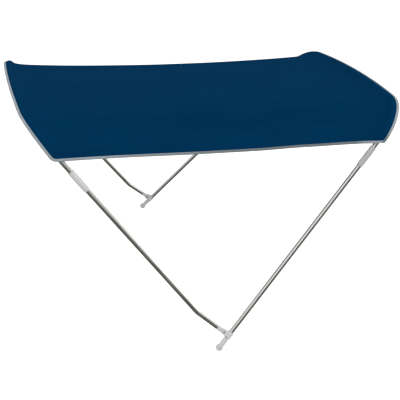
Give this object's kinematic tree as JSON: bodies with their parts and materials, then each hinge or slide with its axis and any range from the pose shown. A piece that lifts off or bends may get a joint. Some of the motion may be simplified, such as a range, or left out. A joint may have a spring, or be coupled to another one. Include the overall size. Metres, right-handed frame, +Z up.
{
  "type": "bimini top with two-bow frame",
  "caption": "Navy cloth sun canopy stretched over two folding aluminium tube bows, with grey edge binding and white nylon fittings.",
  "frame": {"origin": "midway between the two foot eyes, on the common axis of their bolt holes", "axes": "+X from the second bow towards the main bow, +Y across the boat from the near side of the picture to the far side, +Z up"},
  "size_m": [1.8373, 1.936, 1.0816],
  "materials": {
    "navy_cloth": "navy woven acrylic canvas, matt with a faint sheen",
    "grey_tape": "light grey woven binding tape, folded over the edge and stitched",
    "tube_aluminium": "satin anodised tube with fine draw lines",
    "white_nylon": "moulded white nylon, slightly grained",
    "pin_steel": "stainless steel rivet heads"
  },
  "bodies": {
    "root": {"canopy": "navy_cloth", "pocket_main": "navy_cloth", "pocket_second": "navy_cloth", "binding_sides": "grey_tape", "binding_right_end": "grey_tape", "main_arch": "tube_aluminium", "second_arch": "tube_aluminium", "main_leg_near": "tube_aluminium", "main_leg_far": "tube_aluminium", "second_leg_near": "tube_aluminium", "second_leg_far": "tube_aluminium", "main_sleeve_near": "white_nylon", "main_sleeve_far": "white_nylon", "second_sleeve_near": "white_nylon", "second_sleeve_far": "white_nylon", "slide_near": "white_nylon", "slide_far": "white_nylon", "second_eye_near": "white_nylon", "second_eye_far": "white_nylon", "main_eye_near": "white_nylon", "main_eye_far": "white_nylon", "slide_pin_near": "pin_steel", "slide_pin_far": "pin_steel"}
  },
  "joints": []
}
